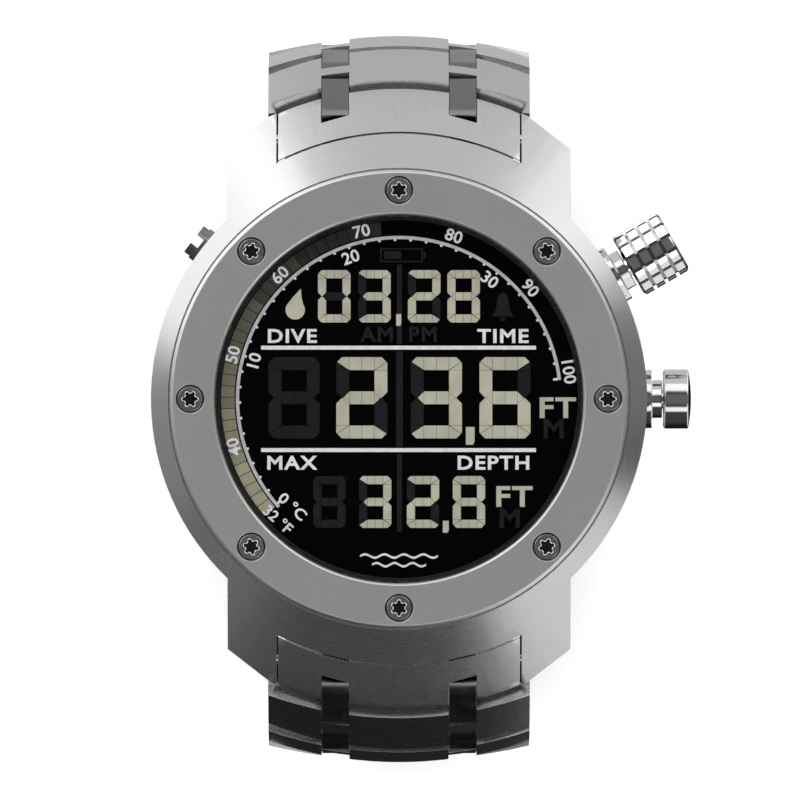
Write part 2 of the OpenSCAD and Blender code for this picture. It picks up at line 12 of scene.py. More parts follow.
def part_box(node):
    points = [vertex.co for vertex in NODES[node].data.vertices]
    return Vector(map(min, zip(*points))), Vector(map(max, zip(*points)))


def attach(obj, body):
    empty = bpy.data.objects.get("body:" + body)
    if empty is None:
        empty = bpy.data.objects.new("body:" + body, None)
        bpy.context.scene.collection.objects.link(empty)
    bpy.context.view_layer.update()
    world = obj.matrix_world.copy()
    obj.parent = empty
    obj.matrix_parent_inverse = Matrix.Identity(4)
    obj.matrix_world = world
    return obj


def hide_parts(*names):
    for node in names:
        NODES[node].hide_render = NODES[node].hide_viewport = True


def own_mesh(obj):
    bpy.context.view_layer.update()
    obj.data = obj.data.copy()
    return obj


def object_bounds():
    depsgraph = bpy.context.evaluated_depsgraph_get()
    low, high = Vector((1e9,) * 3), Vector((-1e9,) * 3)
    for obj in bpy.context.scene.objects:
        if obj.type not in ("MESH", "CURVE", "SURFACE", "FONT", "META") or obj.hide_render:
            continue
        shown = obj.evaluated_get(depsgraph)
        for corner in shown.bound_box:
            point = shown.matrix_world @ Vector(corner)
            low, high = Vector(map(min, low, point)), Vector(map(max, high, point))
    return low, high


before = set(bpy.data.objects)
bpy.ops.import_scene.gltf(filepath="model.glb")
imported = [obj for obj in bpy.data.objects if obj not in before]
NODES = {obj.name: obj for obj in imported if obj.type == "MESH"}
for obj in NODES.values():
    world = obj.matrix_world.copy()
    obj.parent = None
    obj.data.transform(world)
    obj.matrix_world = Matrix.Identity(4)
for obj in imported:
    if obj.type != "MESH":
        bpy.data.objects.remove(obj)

CAD_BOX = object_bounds()
MM = 0.001
LINKS = [n for n in NODES if n.startswith("link_")]
CONNECTORS = [n for n in NODES if n.startswith("connector_")]

# ---------------------------------------------------------------- node helpers


def new_material(name):
    """A material with its Principled shader, ready for more nodes."""
    mat = bpy.data.materials.new(name)
    mat.use_nodes = True
    tree = mat.node_tree
    shader = tree.nodes["Principled BSDF"]
    return mat, tree, shader


def add(tree, kind, **sockets):
    """A node of that kind. Each value goes to the input of that name, or else to the node's own setting."""
    node = tree.nodes.new(kind)
    for key, value in sockets.items():
        name = key.replace("_", " ")
        if name in node.inputs:
            node.inputs[name].default_value = value
        else:
            setattr(node, key, value)
    return node


def link(tree, source, target):
    tree.links.new(source, target)


def in_scene(name, data):
    """A new object of that data, linked to the scene."""
    obj = bpy.data.objects.new(name, data)
    bpy.context.scene.collection.objects.link(obj)
    return obj


def mapped(tree, scale):
    """The object's own coordinates in metres, stretched by scale."""
    coords = tree.nodes.new("ShaderNodeTexCoord")
    mapping = tree.nodes.new("ShaderNodeMapping")
    mapping.inputs["Scale"].default_value = scale
    link(tree, coords.outputs["Object"], mapping.inputs["Vector"])
    return mapping.outputs["Vector"]


def polar(tree, ring_scale, angle_scale):
    """Coordinates that run with the radius and, slowly, with the angle about Z, for a turned grain."""
    coords = tree.nodes.new("ShaderNodeTexCoord")
    split = tree.nodes.new("ShaderNodeSeparateXYZ")
    link(tree, coords.outputs["Object"], split.inputs[0])
    length = add(tree, "ShaderNodeVectorMath", operation="LENGTH")
    flat = tree.nodes.new("ShaderNodeCombineXYZ")
    link(tree, split.outputs["X"], flat.inputs["X"])
    link(tree, split.outputs["Y"], flat.inputs["Y"])
    link(tree, flat.outputs[0], length.inputs[0])
    radius = add(tree, "ShaderNodeMath", operation="MULTIPLY")
    radius.inputs[1].default_value = ring_scale
    link(tree, length.outputs["Value"], radius.inputs[0])
    unit = add(tree, "ShaderNodeVectorMath", operation="NORMALIZE")
    link(tree, flat.outputs[0], unit.inputs[0])
    turned = add(tree, "ShaderNodeVectorMath", operation="SCALE")
    turned.inputs["Scale"].default_value = angle_scale
    link(tree, unit.outputs[0], turned.inputs[0])
    parts = tree.nodes.new("ShaderNodeSeparateXYZ")
    link(tree, turned.outputs[0], parts.inputs[0])
    out = tree.nodes.new("ShaderNodeCombineXYZ")
    link(tree, parts.outputs["X"], out.inputs["X"])
    link(tree, parts.outputs["Y"], out.inputs["Y"])
    link(tree, radius.outputs[0], out.inputs["Z"])
    return out.outputs[0]


def noise(tree, vector, scale, detail=3.0, rough=0.5):
    node = add(tree, "ShaderNodeTexNoise", Scale=scale, Detail=detail, Roughness=rough)
    link(tree, vector, node.inputs["Vector"])
    return node.outputs["Fac"]


def ramp(tree, fac, low, high, to_low, to_high):
    """fac from low..high is spread over to_low..to_high."""
    node = tree.nodes.new("ShaderNodeMapRange")
    for name, value in zip(("From Min", "From Max", "To Min", "To Max"), (low, high, to_low, to_high)):
        node.inputs[name].default_value = value
    link(tree, fac, node.inputs["Value"])
    return node.outputs["Result"]


def mixed(tree, fac, first, second):
    """A colour between first and second."""
    node = add(tree, "ShaderNodeMix", data_type="RGBA")
    node.inputs["A"].default_value = (*first, 1.0)
    node.inputs["B"].default_value = (*second, 1.0)
    link(tree, fac, node.inputs["Factor"])
    return node.outputs["Result"]


def bump(tree, shader, height, distance, strength=1.0):
    node = add(tree, "ShaderNodeBump", Strength=strength, Distance=distance)
    link(tree, height, node.inputs["Height"])
    link(tree, node.outputs["Normal"], shader.inputs["Normal"])


# ------------------------------------------------------------------- materials


def steel(name, tone, rough, grain, depth, spread=0.06, wear=0.05):
    """Satin stainless steel. grain gives the coordinates along which the brush marks are stretched."""
    mat, tree, shader = new_material(name)
    shader.inputs["Metallic"].default_value = 1.0
    vector = grain(tree)
    fine = noise(tree, vector, 1.0, 4.0, 0.65)
    broad = noise(tree, mapped(tree, (1, 1, 1)), 160.0, 3.0)
    link(tree, ramp(tree, fine, 0.3, 0.7, rough - spread, rough + spread), shader.inputs["Roughness"])
    dull = tuple(c * (1 - wear) for c in tone)
    bright = tuple(min(1.0, c * (1 + wear)) for c in tone)
    link(tree, mixed(tree, ramp(tree, broad, 0.35, 0.65, 0, 1), dull, bright), shader.inputs["Base Color"])
    bump(tree, shader, fine, depth)
    return mat


def polished(name, tone, rough, scratch=0.004):
    """Mirror steel with faint hairlines and smears."""
    mat, tree, shader = new_material(name)
    shader.inputs["Metallic"].default_value = 1.0
    hair = noise(tree, mapped(tree, (3000, 400, 900)), 1.0, 2.0)
    smear = noise(tree, mapped(tree, (1, 1, 1)), 420.0, 3.0)
    link(tree, ramp(tree, smear, 0.35, 0.7, rough, rough * 2.2), shader.inputs["Roughness"])
    low = tuple(c * 0.94 for c in tone)
    link(tree, mixed(tree, ramp(tree, smear, 0.3, 0.7, 0, 1), low, tone), shader.inputs["Base Color"])
    bump(tree, shader, hair, scratch * MM)
    return mat


def darken(tree, shader, fac, floor_tone):
    """Painted shade: multiplies the shader's colour by fac, a socket from 0 to 1, that never goes under
    floor_tone.
    """
    colour = shader.inputs["Base Color"].links[0].from_socket
    node = add(tree, "ShaderNodeMix", data_type="RGBA", blend_type="MULTIPLY")
    node.inputs["Factor"].default_value = 1.0
    link(tree, colour, node.inputs["A"])
    link(tree, ramp(tree, fac, 0, 1, floor_tone, 1), node.inputs["B"])
    link(tree, node.outputs["Result"], shader.inputs["Base Color"])


def screw_steel(name, tone, rough, top):
    """Polished screw heads with painted shade, darker in the socket and on the flank below their top face."""
    mat = polished(name, tone, rough)
    tree = mat.node_tree
    split = tree.nodes.new("ShaderNodeSeparateXYZ")
    link(tree, mapped(tree, (1, 1, 1)), split.inputs[0])
    # Painted shade: the colour darkens below the head's top face, down into the socket.
    height = ramp(tree, split.outputs["Z"], top - 0.05 * MM, top - 0.02 * MM, 0, 1)
    darken(tree, tree.nodes["Principled BSDF"], height, 0.12)
    return mat


def knob_steel(name, tone, rough, point, axis, groove, crest):
    """Polished knob whose grooves, nearer its axis than crest, are darker: painted shade."""
    mat = polished(name, tone, rough)
    tree = mat.node_tree
    offset = add(tree, "ShaderNodeVectorMath", operation="SUBTRACT")
    offset.inputs[1].default_value = point
    link(tree, mapped(tree, (1, 1, 1)), offset.inputs[0])
    across = add(tree, "ShaderNodeVectorMath", operation="CROSS_PRODUCT")
    across.inputs[1].default_value = axis
    link(tree, offset.outputs[0], across.inputs[0])
    length = add(tree, "ShaderNodeVectorMath", operation="LENGTH")
    link(tree, across.outputs[0], length.inputs[0])
    # Painted shade in the grooves: darker nearer the knob's axis.
    near = ramp(tree, length.outputs["Value"], groove, crest, 0, 1)
    darken(tree, tree.nodes["Principled BSDF"], near, 0.35)
    return mat


def plain(name, low, high, rough, scale=900.0, depth=0.01, metallic=0.0):
    """A moulded, printed or turned inner part: two close tones, a grain and a fine bump."""
    mat, tree, shader = new_material(name)
    shader.inputs["Metallic"].default_value = metallic
    grain = noise(tree, mapped(tree, (1, 1, 1)), scale, 4.0)
    link(tree, mixed(tree, ramp(tree, grain, 0.35, 0.65, 0, 1), low, high), shader.inputs["Base Color"])
    link(tree, ramp(tree, grain, 0.3, 0.7, rough - 0.05, rough + 0.05), shader.inputs["Roughness"])
    bump(tree, shader, grain, depth * MM)
    return mat


def grain_along(x, y, z):
    """Straight brush marks: the lower a value, the longer the marks run that way."""
    return lambda tree: mapped(tree, (x, y, z))


def turned_grain(tree):
    return polar(tree, 30000, 60)


def crystal_material():
    """Clear crystal that lets the display show, with a weak gloss."""
    mat, tree, shader = new_material("crystal_clear")
    shader.inputs["Base Color"].default_value = (0.002, 0.0025, 0.0025, 1)
    shader.inputs["Alpha"].default_value = 0.03
    shader.inputs["IOR"].default_value = 1.2
    haze = noise(tree, mapped(tree, (1, 1, 1)), 260.0, 2.0)
    link(tree, ramp(tree, haze, 0.3, 0.7, 0.02, 0.06), shader.inputs["Roughness"])
    return mat


def panel_material():
    """Black liquid crystal panel: near black, with a faint wide sheen."""
    mat, tree, shader = new_material("display_panel_black")
    grain = noise(tree, mapped(tree, (1, 1, 1)), 2600.0, 2.0)
    tone = mixed(tree, grain, (0.0003, 0.0003, 0.00035), (0.0005, 0.0005, 0.0006))
    link(tree, tone, shader.inputs["Base Color"])
    link(tree, ramp(tree, grain, 0.3, 0.7, 0.5, 0.6), shader.inputs["Roughness"])
    shader.inputs["Specular IOR Level"].default_value = 0.02
    return mat


def lcd_material(name, low, high, scale=500.0):
    """Lit or unlit liquid crystal cell, softly mottled as such cells are."""
    mat, tree, shader = new_material(name)
    mottle = noise(tree, mapped(tree, (1, 1, 1)), scale, 2.0)
    link(tree, mixed(tree, ramp(tree, mottle, 0.35, 0.65, 0, 1), low, high), shader.inputs["Base Color"])
    link(tree, ramp(tree, mottle, 0.3, 0.7, 0.55, 0.65), shader.inputs["Roughness"])
    shader.inputs["Specular IOR Level"].default_value = 0.15
    return mat


STEEL_TONE = (0.62, 0.62, 0.63)
CROWN_ANGLE = 30
KNOB_AXIS = (math.cos(math.radians(CROWN_ANGLE)), math.sin(math.radians(CROWN_ANGLE)), 0.0)
KNOB_POINT = (0.0, 0.0, 6.5 * MM)
KNOB_GROOVE, KNOB_CREST = 2.77 * MM, 3.02 * MM
MATERIALS = {
    "case": steel("steel_satin_case", STEEL_TONE, 0.27, grain_along(700, 700, 9000),
                  0.0005 * MM, 0.02, 0.015),
    "bezel": steel("steel_satin_bezel", (0.73, 0.725, 0.72), 0.42, turned_grain, 0.0006 * MM, 0.02, 0.012),
    "link": steel("steel_satin_link", STEEL_TONE, 0.27, grain_along(400, 9000, 9000),
                  0.0006 * MM, 0.03, 0.02),
    "back": steel("steel_turned_back", STEEL_TONE, 0.26, turned_grain, 0.002 * MM),
    "clasp": steel("steel_satin_clasp", STEEL_TONE, 0.26, grain_along(9000, 500, 500), 0.0015 * MM),
    "dark": polished("steel_polished_dark", (0.22, 0.22, 0.225), 0.16),
    "polished": polished("steel_polished", (0.78, 0.78, 0.78), 0.05),
    "screw": screw_steel("steel_polished_screw_painted_shade", (0.56, 0.56, 0.56), 0.14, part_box("bezel_screws")[1][2]),
    "knob": knob_steel("steel_polished_knob_painted_shade", (0.78, 0.78, 0.78), 0.05,
                       KNOB_POINT, KNOB_AXIS, KNOB_GROOVE, KNOB_CREST),
    "crystal": crystal_material(),
    "panel": panel_material(),
    "rubber": plain("rubber_black", (0.006, 0.006, 0.006), (0.010, 0.010, 0.010), 0.6),
    "plastic": plain("plastic_black", (0.004, 0.004, 0.0045), (0.006, 0.006, 0.0065), 0.6),
    "board": plain("board_green", (0.010, 0.06, 0.03), (0.016, 0.09, 0.045), 0.4),
    "film": plain("light_film", (0.70, 0.75, 0.73), (0.78, 0.82, 0.80), 0.4),
    "brass": plain("brass_plain", (0.62, 0.45, 0.16), (0.72, 0.55, 0.22), 0.25, metallic=1.0),
}
LIT = lcd_material("lcd_lit", (0.235, 0.230, 0.178), (0.285, 0.277, 0.218))
GHOST = lcd_material("lcd_ghost", (0.0048, 0.0048, 0.0055), (0.0062, 0.0062, 0.0070))
PRINT = lcd_material("print_white", (0.38, 0.38, 0.39), (0.46, 0.46, 0.47), 1500.0)
GREY_PRINT = lcd_material("print_grey", (0.24, 0.24, 0.245), (0.30, 0.30, 0.305), 1500.0)

FINISH = {
    "case_body": "case", "bezel": "bezel", "bezel_screws": "screw", "crystal": "crystal",
    "crystal_gasket": "rubber", "dial_ring": "plastic", "display_panel": "panel",
    "backlight": "film", "module_frame": "plastic", "circuit_board": "board",
    "battery": "polished", "buzzer": "brass", "case_back": "back", "case_back_gasket": "rubber",
    "case_back_screws": "polished", "sensor_port_cap": "dark", "crown_knob": "knob",
    "pressure_sensor": "polished",
    "crown_o_ring": "rubber", "button_o_ring": "rubber", "end_link_12": "case",
    "end_link_6": "case", "clasp_cover": "clasp",
}
for node_name, obj in NODES.items():
    finish = FINISH.get(node_name, "polished")
    if node_name in LINKS:
        finish = "link"
    if node_name in CONNECTORS:
        finish = "dark"
    obj.data.materials.clear()
    obj.data.materials.append(MATERIALS[finish])

# ------------------------------------------------- rounded edges on the CAD parts


def soften(obj, width, angle=25.0, segments=3):
    """Welds the mesh, merges flat triangles and rounds the sharp edges, as a modifier stack."""
    weld = obj.modifiers.new("weld", "WELD")
    weld.merge_threshold = 0.002 * MM
    flat = obj.modifiers.new("flat", "DECIMATE")
    flat.decimate_type = "DISSOLVE"
    flat.angle_limit = math.radians(0.6)
    edge = obj.modifiers.new("edge", "BEVEL")
    edge.width = width * MM
    edge.segments = segments
    edge.limit_method = "ANGLE"
    edge.angle_limit = math.radians(angle)
    edge.use_clamp_overlap = True
    edge.miter_outer = "MITER_ARC"
    level = obj.modifiers.new("level", "WEIGHTED_NORMAL")
    level.mode = "FACE_AREA"
    level.weight = 100
    level.keep_sharp = False


EDGE_WIDTH = {"case_body": 0.12, "bezel": 0.09, "end_link_12": 0.1, "end_link_6": 0.1, "clasp_cover": 0.12,
              "case_back": 0.08, "button_plunger": 0.06, "crown_tube": 0.08,
              "button_tube": 0.08, "sensor_port_cap": 0.05, "bezel_screws": 0.07, "crystal": 0.05,
              "blade_upper": 0.08, "blade_lower": 0.08, "clasp_button_left": 0.08, "clasp_button_right": 0.08}
for node_name in LINKS:
    EDGE_WIDTH[node_name] = 0.11
for node_name in CONNECTORS:
    EDGE_WIDTH[node_name] = 0.07
for node_name, width in EDGE_WIDTH.items():
    soften(NODES[node_name], width)

# --------------------------------------------------------------- display drawing

DISPLAY_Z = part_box("display_panel")[1][2] / MM
LAYER = 0.03


class Sheet:
    """Flat figures of one material, gathered into one thin closed mesh on the display."""

    def __init__(self, name, material, level=0):
        self.name = name
        self.material = material
        self.low = DISPLAY_Z + level * LAYER
        self.figures = []

    def polygon(self, points):
        self.figures.append([tuple(p) for p in points])

    def box(self, x0, y0, x1, y1):
        self.polygon([(x0, y0), (x1, y0), (x1, y1), (x0, y1)])

    def sector(self, r0, r1, a0, a1, steps=4):
        """A piece of a ring between two radii and two angles in degrees."""
        angles = [math.radians(a0 + (a1 - a0) * i / steps) for i in range(steps + 1)]
        outer = [(r1 * math.cos(a), r1 * math.sin(a)) for a in angles]
        inner = [(r0 * math.cos(a), r0 * math.sin(a)) for a in reversed(angles)]
        self.polygon(outer + inner)

    def build(self):
        mesh = bpy.data.meshes.new(self.name)
        bm = bmesh.new()
        for points in self.figures:
            area = sum(a[0] * b[1] - b[0] * a[1] for a, b in zip(points, points[1:] + points[:1]))
            if area < 0:
                points = points[::-1]
            top = [bm.verts.new((x * MM, y * MM, (self.low + LAYER) * MM)) for x, y in points]
            base = [bm.verts.new((x * MM, y * MM, self.low * MM)) for x, y in points]
            bm.faces.new(top)
            bm.faces.new(base[::-1])
            for i in range(len(top)):
                j = (i + 1) % len(top)
                bm.faces.new((top[i], base[i], base[j], top[j]))
        bm.to_mesh(mesh)
        bm.free()
        mesh.materials.append(self.material)
        obj = in_scene(self.name, mesh)
        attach(obj, "root")


def split_cells(points, cuts, gap):
    """A convex polygon cut by lines into cells with a thin gap. cuts: (axis, position)."""
    cells = [points]
    for axis, where in cuts:
        parts = []
        for cell in cells:
            for side in (-1, 1):
                part = clip(cell, axis, where + side * gap / 2, side)
                if len(part) > 2:
                    parts.append(part)
        cells = parts
    return cells


def clip(points, axis, where, side):
    """The part of a convex polygon on one side of the line axis = where."""
    kept = []
    for a, b in zip(points, points[1:] + points[:1]):
        inside_a = side * (a[axis] - where) >= 0
        inside_b = side * (b[axis] - where) >= 0
        if inside_a:
            kept.append(a)
        if inside_a != inside_b:
            t = (where - a[axis]) / (b[axis] - a[axis])
            kept.append((a[0] + t * (b[0] - a[0]), a[1] + t * (b[1] - a[1])))
    return kept


SEGMENTS_OF = {
    0: "abcdef", 1: "bc", 2: "abged", 3: "abgcd", 4: "fgbc", 5: "afgcd",
    6: "afgedc", 7: "abc", 8: "abcdefg", 9: "abcdfg",
}
CELL_GAP = 0.03
BAR_GAP = 0.03


def segment_shapes(w, h, t):
    """The seven bars of a digit of width w, height h and stroke t, with cut outer corners."""
    c = 0.42 * t
    m = h / 2
    bars = {
        "a": [(c, h), (w - c, h), (w - 0.12 * c, h - 0.88 * c), (w - t, h - t), (t, h - t),
              (0.12 * c, h - 0.88 * c)],
        "b": [(w, h - c * 1.1), (w, m + 0.42 * t), (w - 0.42 * t, m), (w - 0.55 * t, m),
              (w - t, m + 0.45 * t), (w - t, h - t), (w - 0.12 * c, h - 0.88 * c)],
        "g": [(t * 0.52, m), (t, m + t / 2), (w - t, m + t / 2), (w - t * 0.52, m),
              (w - t, m - t / 2), (t, m - t / 2)],
    }
    bars["f"] = [(w - x, y) for x, y in bars["b"]]
    bars["d"] = [(x, h - y) for x, y in bars["a"]]
    bars["c"] = [(x, h - y) for x, y in bars["b"]]
    bars["e"] = [(w - x, h - y) for x, y in bars["b"]]
    return bars


def shrink(points, amount):
    """Moves every corner towards the middle of the figure, which leaves a thin gap round it."""
    cx = sum(p[0] for p in points) / len(points)
    cy = sum(p[1] for p in points) / len(points)
    out = []
    for x, y in points:
        d = math.hypot(x - cx, y - cy)
        k = max(0.0, 1 - amount / d)
        out.append((cx + (x - cx) * k, cy + (y - cy) * k))
    return out


def digit(lit, ghost, value, x, y, w, h, t):
    """A seven-bar digit with its lower left corner at x, y. value None leaves every bar unlit."""
    on = SEGMENTS_OF.get(value, "")
    cuts = [(0, t), (0, w - t), (0, w / 2), (1, t), (1, h - t)]
    for key, points in segment_shapes(w, h, t).items():
        sheet = lit if key in on else ghost
        for cell in split_cells(shrink(points, BAR_GAP), cuts, CELL_GAP):
            sheet.polygon([(x + px, y + py) for px, py in cell])


def text_piece(name, body, x, y, height, material, turn=0.0, fat=0.012, level=1, width=1.0, spacing=1.0):
    """Plain sans lettering as a mesh, centred on x, y, with capitals of that height."""
    curve = bpy.data.curves.new(name, "FONT")
    curve.body = body
    curve.align_x = "CENTER"
    curve.align_y = "CENTER"
    curve.size = 1.0
    curve.offset = fat
    curve.space_character = spacing
    curve.extrude = LAYER / 2 / height * 0.73
    curve.resolution_u = 3
    holder = in_scene(name + "_curve", curve)
    bpy.context.view_layer.update()
    depsgraph = bpy.context.evaluated_depsgraph_get()
    mesh = bpy.data.meshes.new_from_object(holder.evaluated_get(depsgraph))
    bpy.data.objects.remove(holder)
    bpy.data.curves.remove(curve)
    xs = [v.co.x for v in mesh.vertices]
    ys = [v.co.y for v in mesh.vertices]
    middle = Vector(((min(xs) + max(xs)) / 2, (min(ys) + max(ys)) / 2, 0))
    size = height / (max(ys) - min(ys))
    place = (
        Matrix.Translation(Vector((x, y, DISPLAY_Z + (level + 0.5) * LAYER)) * MM)
        @ Matrix.Rotation(math.radians(turn), 4, "Z")
        @ Matrix.Diagonal((size * MM * width, size * MM, size * MM, 1))
        @ Matrix.Translation(-middle)
    )
    mesh.transform(place)
    bm = bmesh.new()
    bm.from_mesh(mesh)
    bmesh.ops.remove_doubles(bm, verts=bm.verts, dist=0.0005 * MM)
    bm.to_mesh(mesh)
    bm.free()
    mesh.name = name
    mesh.materials.clear()
    mesh.materials.append(material)
    obj = in_scene(name, mesh)
    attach(obj, "root")


lit = Sheet("lcd_cells_lit", LIT, 1)
ghost = Sheet("lcd_cells_unlit", GHOST, 0)
rules = Sheet("display_rules", PRINT, 1)
arc_print = Sheet("temperature_arc", GREY_PRINT, 1)
scale_print = Sheet("temperature_scale", PRINT, 1)

# Dive time, depth and maximum depth: each digit's value, None if unlit, and its left edge.
ROWS = [
    {"y": 7.08, "w": 3.04, "h": 4.87, "t": 0.78,
     "digits": [(0, -7.52), (3, -3.80), (2, 0.81), (8, 4.47)]},
    {"y": -3.66, "w": 4.76, "h": 7.55, "t": 1.22,
     "digits": [(None, -12.10), (2, -5.83), (3, 1.08), (6, 7.44)]},
    {"y": -11.95, "w": 3.02, "h": 4.82, "t": 0.78,
     "digits": [(None, -7.96), (3, -3.72), (2, 0.71), (8, 4.97)]},
]
for row in ROWS:
    for value, left in row["digits"]:
        digit(lit, ghost, value, left, row["y"], row["w"], row["h"], row["t"])

# The comma of each row: lower left corner, width and height.
COMMAS = [(-0.26, 6.78, 0.46, 1.09), (6.19, -4.24, 0.82, 1.65), (4.06, -12.38, 0.55, 1.10)]
for x, y, w, h in COMMAS:
    lit.polygon([(x, y), (x + 0.8 * w, y), (x + w, y + 0.2 * h), (x + w, y + h), (x, y + h)])

# Unlit boxes, from lower left to upper right corner: a bar between the digits of each row, then
# the battery's top, foot, two ends, terminal and charge.
UNLIT_BARS = [(-0.19, 5.10, 0.27, 12.45), (-0.27, -4.40, 0.36, 4.45), (-0.19, -12.30, 0.27, -5.10)]
BATTERY = [
    (-1.76, 13.86, 2.22, 13.98), (-1.76, 12.69, 2.22, 12.81), (-1.76, 12.81, -1.62, 13.86),
    (2.08, 12.81, 2.22, 13.86), (2.28, 13.05, 2.48, 13.60), (-1.40, 12.98, 0.20, 13.70),
]
for x0, y0, x1, y1 in UNLIT_BARS + BATTERY:
    ghost.box(x0, y0, x1, y1)


def bell_half(u):
    """Half width of the bell at height u, 0 at its mouth and 1 at its top."""
    if u < BELL_FLARE:
        return 1.02 - 0.52 * min(1.0, u * 2.6)
    up = (u - BELL_FLARE) / 0.7
    return 0.55 * math.sqrt(max(0.0, 1 - up ** 2.4)) + 0.05


BELL_X, BELL_Y, BELL_H = 9.63, 7.65, 2.2
BELL_FLARE = 0.3
BELL_STEPS = 12
CLAPPER_Y, CLAPPER_R = 7.52, 0.3
bell_side = [(bell_half(i / BELL_STEPS), i / BELL_STEPS * BELL_H) for i in range(BELL_STEPS + 1)]
bell_right = [(BELL_X + x, BELL_Y + y) for x, y in bell_side]
bell_left = [(BELL_X - x, BELL_Y + y) for x, y in reversed(bell_side)]
ghost.polygon(bell_right + bell_left)
clapper = []
for degrees in range(180, 361, 30):
    a = math.radians(degrees)
    clapper.append((BELL_X + CLAPPER_R * math.cos(a), CLAPPER_Y + CLAPPER_R * math.sin(a)))
ghost.polygon(clapper)

# The drop: a round foot drawn up into a tip that leans to the right.
DROP_X, DROP_Y, DROP_R, DROP_H = -9.62, 8.26, 0.90, 2.87
DROP_STEPS, DROP_FROM, DROP_SWEEP = 24, -215, 250


def drop_outline():
    """The round foot, then its right side, the tip and its left side."""
    points = []
    for i in range(DROP_STEPS + 1):
        a = math.radians(DROP_FROM + i * DROP_SWEEP / DROP_STEPS)
        points.append((DROP_X + DROP_R * math.cos(a), DROP_Y + DROP_R * math.sin(a)))
    points.append((DROP_X + 0.60, DROP_Y + 1.10))
    points.append((DROP_X + 0.52, DROP_Y - DROP_R + DROP_H))
    points.append((DROP_X - 0.20, DROP_Y + 1.20))
    return points


lit.polygon(drop_outline())

# Two printed rules and two plain wave lines under the lowest row.
RULE_LEFT, RULE_RIGHT, RULE_H = -12.78, 12.69, 0.36
for y in (4.58, -4.91):
    rules.box(RULE_LEFT, y, RULE_RIGHT, y + RULE_H)

WAVE_STEPS = 48


def wave_line(sheet, y, half, swing, thick, waves):
    """A line of that thickness along a sine, from -half to half, as one quadrilateral a step."""
    spine = []
    for i in range(WAVE_STEPS + 1):
        along = i / WAVE_STEPS
        spine.append((-half + 2 * half * i / WAVE_STEPS, y + swing * math.sin(2 * math.pi * waves * along)))
    lift = thick / 2
    for (x0, y0), (x1, y1) in zip(spine, spine[1:]):
        sheet.polygon([(x0, y0 - lift), (x1, y1 - lift), (x1, y1 + lift), (x0, y0 + lift)])


for i, y in enumerate((-14.55, -15.35)):
    wave_line(scale_print, y, 3.6 - 1.1 * i, 0.16, 0.20, 4 - i)

# Temperature scale: lit cells that fade along the arc, a thin arc and one tick a degree Celsius.
BAR_START, BAR_END, BAR_COUNT = 221.0, 95.8, 33
BAR_IN, BAR_OUT, BAR_SPLIT = 15.25, 16.50, 0.22
BAR_TONES = 6
BAR_FADED = 4
BAR_DARK, BAR_LIT = 0.012, (0.19, 0.18, 0.125)
bar_sheets = []
for i in range(BAR_TONES):
    k = 1 - i / (BAR_TONES - 1)
    tone = tuple(BAR_DARK + (c - BAR_DARK) * k ** 1.5 for c in BAR_LIT)
    low, high = (tuple(c * share for c in tone) for share in (0.92, 1.08))
    bar_mat = lcd_material(f"lcd_bar_{i}", low, high)
    bar_sheets.append(Sheet(f"lcd_temperature_bar_{i}", bar_mat, 0))
step = (BAR_START - BAR_END) / BAR_COUNT
for i in range(BAR_COUNT):
    a1 = BAR_START - i * step
    tone_index = min(BAR_TONES - 1, i * BAR_TONES // (BAR_COUNT - BAR_FADED))
    bar_sheets[tone_index].sector(BAR_IN, BAR_OUT, a1 - step + BAR_SPLIT, a1)

ARC_IN, ARC_OUT, ARC_START, ARC_END = 14.82, 15.12, 221.9, 6.8
ARC_PIECES = 72
span = (ARC_START - ARC_END) / ARC_PIECES
for i in range(ARC_PIECES):
    arc_print.sector(ARC_IN, ARC_OUT, ARC_START - (i + 1) * span, ARC_START - i * span, 3)

TICK_START, TICK_STEP, TICK_COUNT = 220.6, 5.616, 39
TICK_HALF, TICK_DEPTH, END_TICK_DEPTH = 0.42, 0.17, 0.42
for i in range(TICK_COUNT):
    a = TICK_START - i * TICK_STEP
    depth = END_TICK_DEPTH if i in (0, TICK_COUNT - 1) else TICK_DEPTH
    scale_print.sector(ARC_IN - depth, ARC_IN, a - TICK_HALF, a + TICK_HALF, 1)

for sheet in [lit, ghost, rules, arc_print, scale_print, *bar_sheets]:
    sheet.build()

# Piece name, word, middle x and y, height of its capitals, material and stretch across.
WORDS = [
    ("label_dive", "DIVE", -9.88, 5.84, 1.30, PRINT, 1.16),
    ("label_time", "TIME", 9.63, 5.84, 1.30, PRINT, 1.16),
    ("label_max", "MAX", -9.88, -5.90, 1.30, PRINT, 1.16),
    ("label_depth", "DEPTH", 8.75, -5.90, 1.30, PRINT, 1.16),
    ("unit_ft_depth", "FT", 14.72, -0.80, 1.92, LIT, 1.18),
    ("unit_ft_max", "FT", 10.70, -9.03, 1.92, LIT, 1.18),
    ("unlit_m_depth", "M", 14.33, -2.75, 1.80, GHOST, 1.1),
    ("unlit_m_max", "M", 10.26, -11.03, 1.80, GHOST, 1.1),
    ("unlit_am", "AM", -2.10, 6.00, 1.42, GHOST, 1.05),
    ("unlit_pm", "PM", 2.22, 6.00, 1.42, GHOST, 1.05),
]
for name, body, x, y, height, material, wide in WORDS:
    text_piece(name, body, x, y, height, material, fat=0.026, width=wide, spacing=1.12)

# Numbers round the scale, their feet towards the middle.
NUMBER_HEIGHT = 1.16
FAHRENHEIT = [(40, 196.2), (50, 165.0), (60, 133.8), (70, 102.6), (80, 71.4), (90, 40.2), (100, 9.0)]
CELSIUS = [(10, 165.0), (20, 108.8), (30, 52.7)]
for prefix, radius, numbers in (("number_f", 15.95, FAHRENHEIT), ("number_c", 13.90, CELSIUS)):
    for value, angle in numbers:
        a = math.radians(angle)
        text_piece(f"{prefix}_{value}", str(value), radius * math.cos(a), radius * math.sin(a),
                   NUMBER_HEIGHT, PRINT, turn=angle - 90, fat=0.018, level=2, width=1.05)

